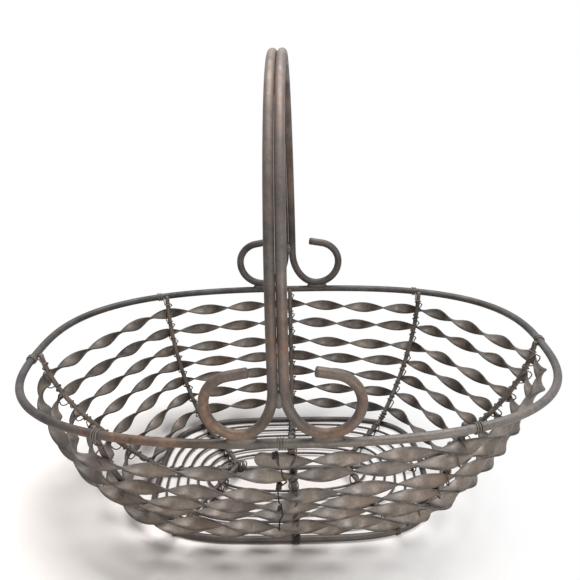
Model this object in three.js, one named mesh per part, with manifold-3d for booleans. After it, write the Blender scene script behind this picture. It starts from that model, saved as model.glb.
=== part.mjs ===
// Oval wire egg basket. A rod rim and a ringed base are joined by four bent frame wires, one twisted
// flat strip is wound round the ribs from the rim to the base, thin wire binds the strip to each rib,
// and a fixed handle of two rods stands on the rim on four open scrolls. Millimetres, +Z up. The origin
// is on the ground under the middle of the basket, X along it and -Y to its front.
import * as THREE from 'three';
import { mergeVertices } from 'three/addons/utils/BufferGeometryUtils.js';
import Module from 'manifold-3d';

// Play left between two pieces that touch.
const CLEARANCE = 0.3;

// Rim: an oval of round rod, measured between rod centre lines. Power 2 is an ellipse, a higher power
// is squarer.
const RIM_LENGTH = 353;
const RIM_WIDTH = 243;
const RIM_POWER = 2.68;
const RIM_ROD = 5.2;

// Base: an outer ring of rod and thin oval rings inside it.
const BASE_LENGTH = 196;
const BASE_WIDTH = 149;
const BASE_POWER = 3.7;
const BASE_ROD = 4.8;
const THIN_RING_COUNT = 6;
const THIN_RING_STEP_ALONG = 7.2;
const THIN_RING_STEP_ACROSS = 8.4;
const THIN_RING_OUTER_POWER = 3.1;
const THIN_RING_INNER_POWER = 2.5;
const THIN_RING_WIRE = 1.8;

// Wall: from the rim's centre line down to the base ring's, bowed outward between them, most at its two
// ends.
const WALL_DEPTH = 101.5;
const END_BOW = 17;
const SIDE_BOW = 4;

// Frame wires: ribs inside the wall that bend into spokes over the base.
const RIB_ROD = 3.5;
const RIB_RISE = 1.5;
const RIB_BEND = 5;
const LEFT_RIB_TOP_ANGLE = 182;
const BACK_LEFT_TOP_ANGLE = 45.2;
const BACK_RIGHT_TOP_ANGLE = 43.6;
const FRONT_LEFT_TOP_ANGLE = 43.7;
const FRONT_RIGHT_TOP_ANGLE = 46.7;
const CORNER_FOOT_ANGLE = 40.8;
const FRONT_RIGHT_FOOT_ANGLE = 44;
const FRONT_RIB_OFFSET = 4;
const SPOKE_MEETING = 39;

// Wall strip: flat strip with a right-hand twist, wound downward from the front under the rim. Its rows
// are the shares of the wall's depth at which each turn starts, with the number of half twists in the
// turn. The winding is tilted, low at the front, but eased round the right end. Its spans are drawn in
// toward straight lines between the ribs, most of all round the back. Its upper end is left untwisted
// up to the middle of the first leaf, and eases into the twist there.
const STRIP_WIDTH = 8.5;
const STRIP_THICKNESS = 1.2;
const STRIP_CLEARANCE = 0.5;
const STRIP_START_ANGLE = -98.5;
const STRIP_START_TWIST = 0.23;
const STRIP_END_TWIST = 0.75;
const STRIP_END_EASE = 0.06;
const STRIP_LAST_TURN = 0.79;
const STRIP_TILT = 0.045;
const STRIP_TILT_EASE = 1.5;
const STRIP_BACK_TAUT = 0.7;
const STRIP_FRONT_TAUT = 0.45;
const STRIP_ROWS = [0.09, 0.2, 0.37, 0.488, 0.605, 0.716, 0.825];
const STRIP_HALF_TWISTS = [28.34, 27.29, 25.35, 23.17, 22.62, 21.46, 20.13];

// Binding wires: turns round the rim beside each rib, then a lashing down the rib.
const BINDING_WIRE = 0.9;
const BINDING_TURNS = 3;
const BINDING_TURN_STEP = 1.5;
const BINDING_FIRST_LEVEL = 0.05;
const BINDING_LAST_LEVEL = 0.905;

// Handle: two rods side by side, an arch with upright legs. Each leg bends out into an open scroll. The
// front legs stand a little to the left of the middle.
const HANDLE_ROD = 5.6;
const HANDLE_HEIGHT = 196;
const SCROLL_DROP = 27;
const SCROLL_INNER_REACH = 20;
const SCROLL_OUTER_RADIUS = 18.75;
const SCROLL_UPPER_RADIUS = 16.5;
const SCROLL_CURL = 80;
const SCROLL_TIP = 11;
const LEG_STRAIGHT = 3;
const HANDLE_LEAN = 2;

// Welds: half lengths of the beads along X, Y and Z.
const SCROLL_WELD = new THREE.Vector3(9, 4.4, 4);
const HANDLE_WELD = new THREE.Vector3(3.4, 3.3, 5.5);
const FRONT_WELD_HEIGHT = 21;
const BACK_WELD_HEIGHT = 31;

// Facets: sides of a round section and steps along a curve.
const ROD_SIDES = 8;
const WIRE_SIDES = 5;
const BINDING_SIDES = 3;
const RIM_STEPS = 80;
const BASE_STEPS = 60;
const THIN_RING_STEPS = 36;
const RIB_STEPS = 6;
const BEND_STEPS = 4;
const ARCH_STEPS = 22;
const SCROLL_STEPS = 5;
const TWIST_STEPS = 4;
const TURN_STEPS = 7;
const OVAL_SAMPLES = 720;

// Heights of the centre lines.
const BASE_Z = (BASE_ROD / 2) * Math.cos(Math.PI / ROD_SIDES);
const RIM_Z = BASE_Z + WALL_DEPTH;
const SPOKE_Z = BASE_Z + THIN_RING_WIRE / 2 + CLEARANCE + RIB_ROD / 2;
const CROSSING_Z = SPOKE_Z + RIB_ROD + CLEARANCE;
const SCROLL_Z = RIM_Z + RIM_ROD / 2 + CLEARANCE + HANDLE_ROD / 2;

const UP = new THREE.Vector3(0, 0, 1);
const { degToRad, lerp, smoothstep } = THREE.MathUtils;

const iron = new THREE.MeshStandardMaterial({ color: 0x554d48, roughness: 0.6, metalness: 0.7 });
const handleIron = new THREE.MeshStandardMaterial({ color: 0x5e5048, roughness: 0.62, metalness: 0.65 });
const stripIron = new THREE.MeshStandardMaterial({ color: 0x4d4743, roughness: 0.55, metalness: 0.75 });
const wireIron = new THREE.MeshStandardMaterial({ color: 0x47403c, roughness: 0.65, metalness: 0.7 });
const weldIron = new THREE.MeshStandardMaterial({ color: 0x605a55, roughness: 0.7, metalness: 0.6 });

const basket = new THREE.Group();
basket.name = 'wire_egg_basket';

function addPiece(name, geometry, material) {
  const mesh = new THREE.Mesh(geometry, material);
  mesh.name = name;
  basket.add(mesh);
}

// A level oval, traced anticlockwise from +X by its polar angle.
class Oval extends THREE.Curve {
  constructor(length, width, power, height) {
    super();
    this.halfLength = length / 2;
    this.halfWidth = width / 2;
    this.power = power;
    this.height = height;
    this.arcLengthDivisions = OVAL_SAMPLES;
  }

  at(angle) {
    const along = Math.abs(Math.cos(angle) / this.halfLength) ** this.power;
    const across = Math.abs(Math.sin(angle) / this.halfWidth) ** this.power;
    const radius = (along + across) ** (-1 / this.power);
    return new THREE.Vector3(radius * Math.cos(angle), radius * Math.sin(angle), this.height);
  }

  getPoint(turn) {
    return this.at(2 * Math.PI * turn);
  }
}

// Joins rings of points into one closed body: a loop back to its first ring, or a run with flat ends.
// Each four-sided facet is folded along one diagonal, or along the other where it is turned.
function skin(rings, loop, turned = () => false) {
  const sides = rings[0].length;
  const last = (rings.length - 1) * sides;
  const index = [];
  for (let i = 0; i < (loop ? rings.length : rings.length - 1); i += 1) {
    const here = i * sides;
    const next = ((i + 1) % rings.length) * sides;
    for (let j = 0; j < sides; j += 1) {
      const k = (j + 1) % sides;
      if ((j < sides / 2) !== turned(i)) {
        index.push(here + j, here + k, next + k, here + j, next + k, next + j);
      } else {
        index.push(here + j, here + k, next + j, here + k, next + k, next + j);
      }
    }
  }
  for (let j = 1; j < sides - 1 && !loop; j += 1) {
    index.push(0, j + 1, j, last, last + j, last + j + 1);
  }
  const geometry = new THREE.BufferGeometry();
  geometry.setFromPoints(rings.flat());
  geometry.setIndex(index);
  return geometry;
}

// A round section about a centre, in the plane of two directions.
function roundSection(centre, u, v, diameter, sides) {
  const ring = [];
  for (let j = 0; j < sides; j += 1) {
    const angle = (2 * Math.PI * (j + 0.5)) / sides;
    const point = centre.clone().addScaledVector(u, (diameter / 2) * Math.cos(angle));
    ring.push(point.addScaledVector(v, (diameter / 2) * Math.sin(angle)));
  }
  return ring;
}

// A closed ring of rod round a level oval.
function ringRod(oval, diameter, sides, steps) {
  const centres = oval.getSpacedPoints(steps).slice(0, steps);
  const rings = centres.map((centre, i) => {
    const before = centres[(i + steps - 1) % steps];
    const after = centres[(i + 1) % steps];
    const outward = after.clone().sub(before).cross(UP).normalize();
    return roundSection(centre, UP, outward, diameter, sides);
  });
  return skin(rings, true);
}

// A rod with flat ends through a run of points, its section carried along without spinning.
function openRod(points, diameter, sides) {
  const last = points.length - 1;
  const rings = [];
  let u = null;
  points.forEach((point, i) => {
    const before = points[Math.max(i - 1, 0)];
    const after = points[Math.min(i + 1, last)];
    const along = after.clone().sub(before).normalize();
    if (u === null) {
      const least = Math.abs(along.z) < Math.abs(along.y) ? UP : new THREE.Vector3(0, 1, 0);
      u = least.clone();
    }
    u.addScaledVector(along, -u.dot(along)).normalize();
    rings.push(roundSection(point, u, along.clone().cross(u), diameter, sides));
  });
  return skin(rings, false);
}

// The ribs' surface at a share of the wall's depth, kept clear inside the rim rod and the base ring.
function insetFor(rod, run) {
  return (rod / 2 + CLEARANCE + RIB_ROD / 2) * Math.hypot(1, run / WALL_DEPTH);
}

function ribSize(level, rimSize, baseSize, bow) {
  const run = (rimSize - baseSize) / 2;
  const swell = 4 * bow;
  const top = rimSize / 2 - insetFor(RIM_ROD, run - swell);
  const foot = baseSize / 2 - insetFor(BASE_ROD, run + swell);
  return 2 * (lerp(top, foot, level) + swell * level * (1 - level));
}

function ribOval(level) {
  const length = ribSize(level, RIM_LENGTH, BASE_LENGTH, END_BOW);
  const width = ribSize(level, RIM_WIDTH, BASE_WIDTH, SIDE_BOW);
  const power = lerp(RIM_POWER, BASE_POWER, level);
  return new Oval(length, width, power, lerp(RIM_Z, BASE_Z, level));
}

// Directions at a place on the ribs' surface: anticlockwise round it, up it and out of it.
const PROBE = 1e-3;

function wallPlace(angle, level) {
  const oval = ribOval(level);
  const centre = oval.at(angle);
  const along = oval.at(angle + PROBE).sub(oval.at(angle - PROBE)).normalize();
  const up = ribOval(level - PROBE).at(angle).sub(ribOval(level + PROBE).at(angle));
  up.addScaledVector(along, -up.dot(along)).normalize();
  return { centre, along, up, outward: along.clone().cross(up) };
}

// Ribs: polar angle at the top and at the foot, and the side of the rib that its binding starts on.
const frontAngle = -Math.PI / 2 + Math.atan(FRONT_RIB_OFFSET / (RIM_WIDTH / 2));
const frontFootAngle = -Math.PI / 2 + Math.atan(FRONT_RIB_OFFSET / (BASE_WIDTH / 2));
const leftTop = degToRad(LEFT_RIB_TOP_ANGLE);
const backLeftTop = degToRad(BACK_LEFT_TOP_ANGLE);
const backRightTop = degToRad(BACK_RIGHT_TOP_ANGLE);
const frontLeftTop = degToRad(FRONT_LEFT_TOP_ANGLE);
const frontRightTop = degToRad(FRONT_RIGHT_TOP_ANGLE);
const cornerFoot = degToRad(CORNER_FOOT_ANGLE);
const frontRightFoot = degToRad(FRONT_RIGHT_FOOT_ANGLE);
const ribs = {
  right: { top: 0, foot: 0, side: 1 },
  back_right: { top: backRightTop, foot: cornerFoot, side: 1 },
  back: { top: Math.PI / 2, foot: Math.PI / 2, side: 1 },
  back_left: { top: Math.PI - backLeftTop, foot: Math.PI - cornerFoot, side: 1 },
  left: { top: leftTop, foot: Math.PI, side: 1 },
  front_left: { top: Math.PI + frontLeftTop, foot: Math.PI + cornerFoot, side: 1 },
  front: { top: frontAngle, foot: frontFootAngle, side: -1 },
  front_right: { top: -frontRightTop, foot: -frontRightFoot, side: 1 },
};

const ribAngle = (rib, level) => lerp(rib.top, rib.foot, level);

// A frame wire: down one rib, over the base through its crossing and up the other rib.
const ribTopLevel = -RIB_RISE / WALL_DEPTH;
const spokeLevel = (RIM_Z - SPOKE_Z) / WALL_DEPTH;

function bend(from, corner, to, size) {
  const start = corner.clone().add(from.clone().sub(corner).setLength(size));
  const end = corner.clone().add(to.clone().sub(corner).setLength(size));
  return new THREE.QuadraticBezierCurve3(start, corner, end).getPoints(BEND_STEPS);
}

function ribPoint(rib, level) {
  return ribOval(level).at(ribAngle(rib, level));
}

function frameWire(first, second, crossing) {
  const down = (rib) => {
    const foot = ribPoint(rib, spokeLevel);
    const bendLevel = spokeLevel - RIB_BEND / foot.distanceTo(ribPoint(rib, ribTopLevel));
    const run = [];
    for (let i = 0; i < RIB_STEPS; i += 1) {
      run.push(ribPoint(rib, lerp(ribTopLevel, bendLevel, i / RIB_STEPS)));
    }
    return run.concat(bend(ribPoint(rib, bendLevel), foot, crossing, RIB_BEND));
  };
  const near = down(first);
  const far = down(second);
  const middle = bend(ribPoint(first, spokeLevel), crossing, ribPoint(second, spokeLevel), RIB_BEND);
  return openRod([...near, ...middle, ...far.reverse()], RIB_ROD, ROD_SIDES);
}

// Wall strip: turn counts whole turns from its upper end.
const stripStart = degToRad(STRIP_START_ANGLE);
const stripEnd = STRIP_ROWS.length - 1 + STRIP_LAST_TURN;

const stripAngle = (turn) => stripStart + 2 * Math.PI * turn;

function stripLevel(turn) {
  const row = Math.max(0, Math.min(Math.floor(turn), STRIP_ROWS.length - 1));
  const next = STRIP_ROWS[row + 1] ?? 2 * STRIP_ROWS[row] - STRIP_ROWS[row - 1];
  const angle = stripAngle(turn);
  const tilt = STRIP_TILT * (1 - STRIP_TILT_EASE * Math.max(0, Math.cos(angle)));
  return lerp(STRIP_ROWS[row], next, turn - row) - tilt * Math.sin(angle);
}

// Share of a row's length passed at a share of a turn, from sampled points of that row.
const rowLengths = STRIP_ROWS.map((level) => {
  const oval = ribOval(level);
  const lengths = [0];
  for (let i = 1; i <= OVAL_SAMPLES; i += 1) {
    const here = oval.at(stripAngle(i / OVAL_SAMPLES));
    const before = oval.at(stripAngle((i - 1) / OVAL_SAMPLES));
    lengths.push(lengths[i - 1] + here.distanceTo(before));
  }
  return lengths.map((length) => length / lengths[OVAL_SAMPLES]);
});

function stripTwist(turn) {
  const row = Math.min(Math.floor(turn), STRIP_ROWS.length - 1);
  const place = (turn - row) * OVAL_SAMPLES;
  const sample = Math.min(Math.floor(place), OVAL_SAMPLES - 1);
  const share = lerp(rowLengths[row][sample], rowLengths[row][sample + 1], place - sample);
  const before = STRIP_HALF_TWISTS.slice(0, row).reduce((sum, count) => sum + count, STRIP_START_TWIST);
  const pastFlat = (before + STRIP_HALF_TWISTS[row] * share - STRIP_END_TWIST) / 2;
  return Math.PI * (STRIP_END_TWIST + pastFlat + Math.hypot(pastFlat, STRIP_END_EASE));
}

function stripReach(turn) {
  const twist = stripTwist(turn);
  return (STRIP_WIDTH * Math.abs(Math.sin(twist)) + STRIP_THICKNESS * Math.abs(Math.cos(twist))) / 2;
}

// How far out the strip rests on a rib, clear of it all the way across.
const REST_SAMPLES = 6;

function restOn(turn, level) {
  const oval = ribOval(level);
  const angle = stripAngle(turn);
  const speed = oval.at(angle + PROBE).distanceTo(oval.at(angle - PROBE)) / (2 * PROBE);
  let rest = 0;
  for (let i = -REST_SAMPLES; i <= REST_SAMPLES; i += 1) {
    const share = i / REST_SAMPLES;
    const aside = ((share * RIB_ROD) / 2 / speed) / (2 * Math.PI);
    const cover = (RIB_ROD / 2) * Math.sqrt(1 - share * share);
    rest = Math.max(rest, cover + stripReach(turn + aside));
  }
  return rest + STRIP_CLEARANCE;
}

// Where the strip crosses each rib.
function crossingsOf(rib) {
  const found = [];
  for (let row = 0; row < STRIP_ROWS.length; row += 1) {
    let level = STRIP_ROWS[row];
    let turn = row;
    for (let pass = 0; pass < 3; pass += 1) {
      const ahead = (ribAngle(rib, level) - stripStart) / (2 * Math.PI);
      turn = row + ahead - Math.floor(ahead);
      level = stripLevel(turn);
    }
    if (turn < stripEnd) {
      found.push({ turn, level, rest: restOn(turn, level), point: ribPoint(rib, level) });
    }
  }
  return found;
}

const crossings = Object.values(ribs).flatMap(crossingsOf).sort((a, b) => a.turn - b.turn);

function stripRest(from, to, turn) {
  return lerp(from.rest, to.rest, smoothstep(turn, from.turn, to.turn));
}

// How far a span is drawn in: a share of its distance from the straight line between its two ribs.
function stripInset(from, to, turn, place) {
  const span = THREE.MathUtils.clamp((turn - from.turn) / (to.turn - from.turn), 0, 1);
  const middle = stripAngle((from.turn + to.turn) / 2);
  const outward = to.point.clone().sub(from.point).setZ(0).cross(UP).normalize();
  const distance = place.clone().sub(from.point).dot(outward);
  const taut = Math.sin(middle) > 0 ? STRIP_BACK_TAUT : STRIP_FRONT_TAUT;
  return outward.multiplyScalar(-taut * Math.sqrt(Math.max(0, Math.sin(Math.PI * span))) * distance);
}

function stripCentre(turn) {
  const after = crossings.findIndex((crossing) => crossing.turn >= turn);
  const end = after < 0 ? crossings.length - 1 : Math.max(after, 1);
  const [from, to] = [crossings[end - 1], crossings[end]];
  const { centre, outward } = wallPlace(stripAngle(turn), stripLevel(turn));
  const inset = stripInset(from, to, turn, centre);
  return centre.add(inset).addScaledVector(outward, stripRest(from, to, turn));
}

function stripTurns() {
  const turns = [];
  for (let row = 0; row < STRIP_ROWS.length; row += 1) {
    const steps = Math.round(STRIP_HALF_TWISTS[row] * TWIST_STEPS);
    let sample = 0;
    for (let i = 0; i < steps; i += 1) {
      while (rowLengths[row][sample + 1] <= i / steps) {
        sample += 1;
      }
      const low = rowLengths[row][sample];
      const high = rowLengths[row][sample + 1];
      turns.push(row + (sample + (i / steps - low) / (high - low)) / OVAL_SAMPLES);
    }
  }
  return turns.filter((turn) => turn < stripEnd).concat(stripEnd);
}

function stripSection(turn) {
  const centre = stripCentre(turn);
  const along = stripCentre(turn + PROBE).sub(stripCentre(turn - PROBE)).normalize();
  const { up } = wallPlace(stripAngle(turn), stripLevel(turn));
  up.addScaledVector(along, -up.dot(along)).normalize();
  const outward = along.clone().cross(up);
  const twist = stripTwist(turn);
  const wide = up.clone().multiplyScalar(Math.cos(twist)).addScaledVector(outward, Math.sin(twist));
  const thick = outward.clone().multiplyScalar(Math.cos(twist)).addScaledVector(up, -Math.sin(twist));
  const corners = [[1, 1], [-1, 1], [-1, -1], [1, -1]];
  return corners.map(([w, t]) => {
    const corner = centre.clone().addScaledVector(wide, (w * STRIP_WIDTH) / 2);
    return corner.addScaledVector(thick, (t * STRIP_THICKNESS) / 2);
  });
}

// Least gap of a run of sections to itself: between points of sections further apart along it than they
// reach.
function leastGap(sections, reach) {
  let least = Infinity;
  for (let i = 0; i < sections.length; i += 1) {
    for (let j = i + reach; j < sections.length; j += 1) {
      for (const a of sections[i]) {
        for (const b of sections[j]) {
          least = Math.min(least, a.distanceTo(b));
        }
      }
    }
  }
  return least;
}

// Binding wire of one rib: turns round the rim, then at each row over the strip and between rows round
// the rib.
const rimOval = new Oval(RIM_LENGTH, RIM_WIDTH, RIM_POWER, RIM_Z);

function rimSlope(angle) {
  return rimOval.at(angle + PROBE).sub(rimOval.at(angle - PROBE)).divideScalar(2 * PROBE);
}

// The rim's polar angle at its place nearest to a rib's top.
function rimAngleAt(rib) {
  const target = ribPoint(rib, 0);
  let angle = rib.top;
  for (let pass = 0; pass < 4; pass += 1) {
    const slope = rimSlope(angle);
    angle += target.clone().sub(rimOval.at(angle)).dot(slope) / slope.lengthSq();
  }
  return angle;
}

function rimTurns(rib) {
  const points = [];
  const nearest = rimAngleAt(rib);
  const speed = rimSlope(nearest).length();
  const near = RIB_ROD / 2 + CLEARANCE + BINDING_WIRE;
  const radius = (RIM_ROD / 2 + CLEARANCE + BINDING_WIRE / 2) / Math.cos(Math.PI / TURN_STEPS);
  const steps = BINDING_TURNS * TURN_STEPS;
  for (let i = 0; i <= steps; i += 1) {
    const distance = near + BINDING_TURN_STEP * BINDING_TURNS * (1 - i / steps);
    const angle = nearest + (rib.side * distance) / speed;
    const outward = rimSlope(angle).cross(UP).normalize();
    const turn = 2 * Math.PI * (i / TURN_STEPS);
    const point = rimOval.at(angle).addScaledVector(outward, -radius * Math.cos(turn));
    points.push(point.addScaledVector(UP, radius * Math.sin(turn)));
  }
  return points;
}

function lashing(rib) {
  const rows = crossingsOf(rib).filter((row) => row.level < BINDING_LAST_LEVEL);
  const last = rows.length - 1;
  const beside = RIB_ROD / 2 + CLEARANCE + BINDING_WIRE / 2;
  const behind = 1.25 * beside;
  const levels = rows.map((row, i) => (i === 0 ? BINDING_FIRST_LEVEL : (rows[i - 1].level + row.level) / 2));
  levels.push(Math.min(BINDING_LAST_LEVEL, 2 * rows[last].level - levels[last]));
  const overStrip = rows.map((row) => {
    const halfTurn = beside / ribPoint(rib, row.level).length() / (2 * Math.PI);
    const reach = Math.max(stripReach(row.turn - halfTurn), stripReach(row.turn + halfTurn));
    return row.rest + Math.max(reach, stripReach(row.turn)) + CLEARANCE + BINDING_WIRE;
  });
  const points = [];
  levels.forEach((level, gap) => {
    const { centre, along, outward } = wallPlace(ribAngle(rib, level), level);
    const add = (across, out) => {
      const point = centre.clone().addScaledVector(along, -across * rib.side);
      points.push(point.addScaledVector(outward, out));
    };
    if (gap > 0) {
      add(-beside, overStrip[gap - 1]);
    }
    add(-beside, -beside / 3);
    if (gap <= last) {
      add(0, -behind);
      add(beside, -beside / 3);
      add(beside, overStrip[gap]);
    }
  });
  return points;
}

// Handle: one rod from the tip of its front scroll over the arch to the tip of its back scroll.
function scrollOutline(innerReach) {
  const arc = (x, y, radiusX, radiusY, from, to) => {
    const curve = new THREE.EllipseCurve(x, y, radiusX, radiusY, degToRad(from), degToRad(to));
    return curve.getPoints(SCROLL_STEPS);
  };
  const outside = innerReach + SCROLL_OUTER_RADIUS;
  const upperX = outside - SCROLL_UPPER_RADIUS;
  const inner = arc(innerReach, SCROLL_DROP, innerReach, SCROLL_DROP, 180, 270);
  const outer = arc(innerReach, SCROLL_OUTER_RADIUS, SCROLL_OUTER_RADIUS, SCROLL_OUTER_RADIUS, 270, 360);
  const upper = arc(upperX, SCROLL_OUTER_RADIUS, SCROLL_UPPER_RADIUS, SCROLL_UPPER_RADIUS, 0, SCROLL_CURL);
  const heading = degToRad(SCROLL_CURL + 90);
  const end = upper[SCROLL_STEPS];
  const tip = new THREE.Vector2(end.x + SCROLL_TIP * Math.cos(heading), end.y + SCROLL_TIP * Math.sin(heading));
  return [...inner, ...outer.slice(1), ...upper.slice(1), tip];
}

const legX = HANDLE_ROD / 2 + CLEARANCE / 2;
const springZ = SCROLL_Z + SCROLL_DROP + LEG_STRAIGHT;
const archRise = RIM_Z + HANDLE_HEIGHT - springZ;

function handlePath(side) {
  const scroll = (y, lean) => scrollOutline(SCROLL_INNER_REACH + side * lean).map((p) => {
    return new THREE.Vector3(side * (legX + p.x) - lean, y, SCROLL_Z + p.y);
  });
  const arch = [];
  for (let i = 0; i <= ARCH_STEPS; i += 1) {
    const angle = (Math.PI * i) / ARCH_STEPS;
    const lean = HANDLE_LEAN * Math.cos(angle / 2) ** 2;
    const y = (-RIM_WIDTH / 2) * Math.cos(angle);
    arch.push(new THREE.Vector3(side * legX - lean, y, springZ + archRise * Math.sin(angle)));
  }
  return [...scroll(-RIM_WIDTH / 2, HANDLE_LEAN).reverse(), ...arch, ...scroll(RIM_WIDTH / 2, 0)];
}

// Welds: a bead cut back from the rods that it joins.
const wasm = await Module();
wasm.setup();

function toSolid(geometry) {
  const bare = geometry.clone();
  bare.deleteAttribute('normal');
  bare.deleteAttribute('uv');
  const merged = mergeVertices(bare);
  const vertProperties = new Float32Array(merged.getAttribute('position').array);
  const triVerts = new Uint32Array(merged.getIndex().array);
  return new wasm.Manifold(new wasm.Mesh({ numProp: 3, vertProperties, triVerts }));
}

function toGeometry(solid) {
  const mesh = solid.getMesh();
  const geometry = new THREE.BufferGeometry();
  geometry.setAttribute('position', new THREE.BufferAttribute(mesh.vertProperties, mesh.numProp));
  geometry.setIndex(new THREE.BufferAttribute(mesh.triVerts, 1));
  return geometry;
}

const WELD_AROUND = 10;
const WELD_DOWN = 6;

function weldBead(centre, halfSizes, rods) {
  const bead = new THREE.SphereGeometry(1, WELD_AROUND, WELD_DOWN);
  bead.scale(halfSizes.x, halfSizes.y, halfSizes.z);
  bead.translate(centre.x, centre.y, centre.z);
  let solid = toSolid(bead);
  rods.forEach((rod) => {
    solid = solid.subtract(rod);
  });
  const pieces = solid.decompose();
  pieces.sort((a, b) => b.volume() - a.volume());
  return toGeometry(pieces[0]);
}

// The pieces, from the ground up.
const baseOval = new Oval(BASE_LENGTH, BASE_WIDTH, BASE_POWER, BASE_Z);
addPiece('base_outer_ring', ringRod(baseOval, BASE_ROD, ROD_SIDES, BASE_STEPS), iron);

for (let i = 1; i <= THIN_RING_COUNT; i += 1) {
  const length = BASE_LENGTH - 2 * THIN_RING_STEP_ALONG * i;
  const width = BASE_WIDTH - 2 * THIN_RING_STEP_ACROSS * i;
  const inward = (i - 1) / Math.max(1, THIN_RING_COUNT - 1);
  const oval = new Oval(length, width, lerp(THIN_RING_OUTER_POWER, THIN_RING_INNER_POWER, inward), BASE_Z);
  addPiece(`base_thin_ring_${i}`, ringRod(oval, THIN_RING_WIRE, WIRE_SIDES, THIN_RING_STEPS), wireIron);
}

const low = new THREE.Vector3(0, 0, SPOKE_Z);
const middle = new THREE.Vector3(0, 0, CROSSING_Z);
const leftMeeting = new THREE.Vector3(-SPOKE_MEETING, 0, CROSSING_Z);
const rightMeeting = new THREE.Vector3(SPOKE_MEETING, 0, CROSSING_Z);
addPiece('frame_wire_long', frameWire(ribs.left, ribs.right, low), iron);
addPiece('frame_wire_cross', frameWire(ribs.front, ribs.back, middle), iron);
addPiece('frame_wire_left', frameWire(ribs.front_left, ribs.back_left, leftMeeting), iron);
addPiece('frame_wire_right', frameWire(ribs.front_right, ribs.back_right, rightMeeting), iron);

const turns = stripTurns();
const stripSections = turns.map(stripSection);
const foldedOut = (i) => Math.cos(stripTwist((turns[i] + turns[i + 1]) / 2)) > 0;
addPiece('wall_strip', skin(stripSections, false, foldedOut), stripIron);
console.log(`wall_strip least gap to itself ${leastGap(stripSections, 2 * TWIST_STEPS).toFixed(2)} mm`);

Object.entries(ribs).forEach(([name, rib]) => {
  const points = [...rimTurns(rib), ...lashing(rib)];
  addPiece(`binding_wire_${name}`, openRod(points, BINDING_WIRE, BINDING_SIDES), wireIron);
  const gap = leastGap(points.map((point) => [point]), TURN_STEPS - 1) - BINDING_WIRE;
  console.log(`binding_wire_${name} least gap to itself ${gap.toFixed(2)} mm`);
});

addPiece('rim', ringRod(rimOval, RIM_ROD, ROD_SIDES, RIM_STEPS), iron);

const leftPath = handlePath(-1);
const rightPath = handlePath(1);
addPiece('handle_rod_left', openRod(leftPath, HANDLE_ROD, ROD_SIDES), handleIron);
addPiece('handle_rod_right', openRod(rightPath, HANDLE_ROD, ROD_SIDES), handleIron);

const rimCut = toSolid(ringRod(rimOval, RIM_ROD + 2 * CLEARANCE, ROD_SIDES, RIM_STEPS));
const leftCut = toSolid(openRod(leftPath, HANDLE_ROD + 2 * CLEARANCE, ROD_SIDES));
const rightCut = toSolid(openRod(rightPath, HANDLE_ROD + 2 * CLEARANCE, ROD_SIDES));
const handleEnds = [['front', -1, FRONT_WELD_HEIGHT, HANDLE_LEAN], ['back', 1, BACK_WELD_HEIGHT, 0]];
handleEnds.forEach(([end, sign, height, lean]) => {
  const y = (sign * RIM_WIDTH) / 2;
  const joint = new THREE.Vector3(-lean, y, SCROLL_Z + height);
  addPiece(`handle_weld_${end}`, weldBead(joint, HANDLE_WELD, [leftCut, rightCut]), weldIron);
  [['left', -1, leftCut], ['right', 1, rightCut]].forEach(([name, side, cut]) => {
    const seatZ = RIM_Z + RIM_ROD / 2 + CLEARANCE / 2;
    const seat = new THREE.Vector3(side * (legX + SCROLL_INNER_REACH), y, seatZ);
    addPiece(`scroll_weld_${end}_${name}`, weldBead(seat, SCROLL_WELD, [rimCut, cut]), weldIron);
  });
});

// Bound rows stand out a little further at one end than at the other, so the outline is centred over
// the origin.
const outline = new THREE.Box3().setFromObject(basket).getCenter(new THREE.Vector3());
basket.children.forEach((mesh) => mesh.geometry.translate(-outline.x, -outline.y, 0));

export default basket;
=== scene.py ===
import math
from collections import namedtuple

import bpy
import numpy as np
from mathutils import Matrix


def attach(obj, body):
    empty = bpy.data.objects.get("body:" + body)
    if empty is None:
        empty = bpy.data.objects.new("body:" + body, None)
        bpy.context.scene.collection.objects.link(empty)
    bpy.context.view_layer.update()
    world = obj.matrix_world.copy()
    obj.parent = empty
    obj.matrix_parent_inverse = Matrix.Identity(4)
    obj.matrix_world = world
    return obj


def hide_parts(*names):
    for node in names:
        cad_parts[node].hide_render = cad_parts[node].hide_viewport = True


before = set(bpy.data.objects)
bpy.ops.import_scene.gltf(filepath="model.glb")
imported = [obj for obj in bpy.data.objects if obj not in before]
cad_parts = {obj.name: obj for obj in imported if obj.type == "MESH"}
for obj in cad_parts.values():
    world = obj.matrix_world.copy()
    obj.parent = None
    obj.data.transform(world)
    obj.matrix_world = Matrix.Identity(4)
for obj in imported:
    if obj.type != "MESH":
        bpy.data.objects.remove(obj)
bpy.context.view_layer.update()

# Sizes in millimetres and angles in radians, mostly as the solids have them.
MM = 0.001
CLEARANCE = 0.3

# Rim, base ring and thin rings. A power of 2 makes an ellipse, and a higher one a squarer oval.
RIM_LENGTH, RIM_WIDTH, RIM_POWER, RIM_ROD = 353, 243, 2.68, 5.2
BASE_LENGTH, BASE_WIDTH, BASE_POWER, BASE_ROD = 196, 149, 3.7, 4.8
THIN_RINGS, THIN_STEP_ALONG, THIN_STEP_ACROSS, THIN_WIRE = 6, 7.2, 8.4, 1.8
THIN_OUTER_POWER, THIN_INNER_POWER = 3.1, 2.5
BASE_SIDES = 8

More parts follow.
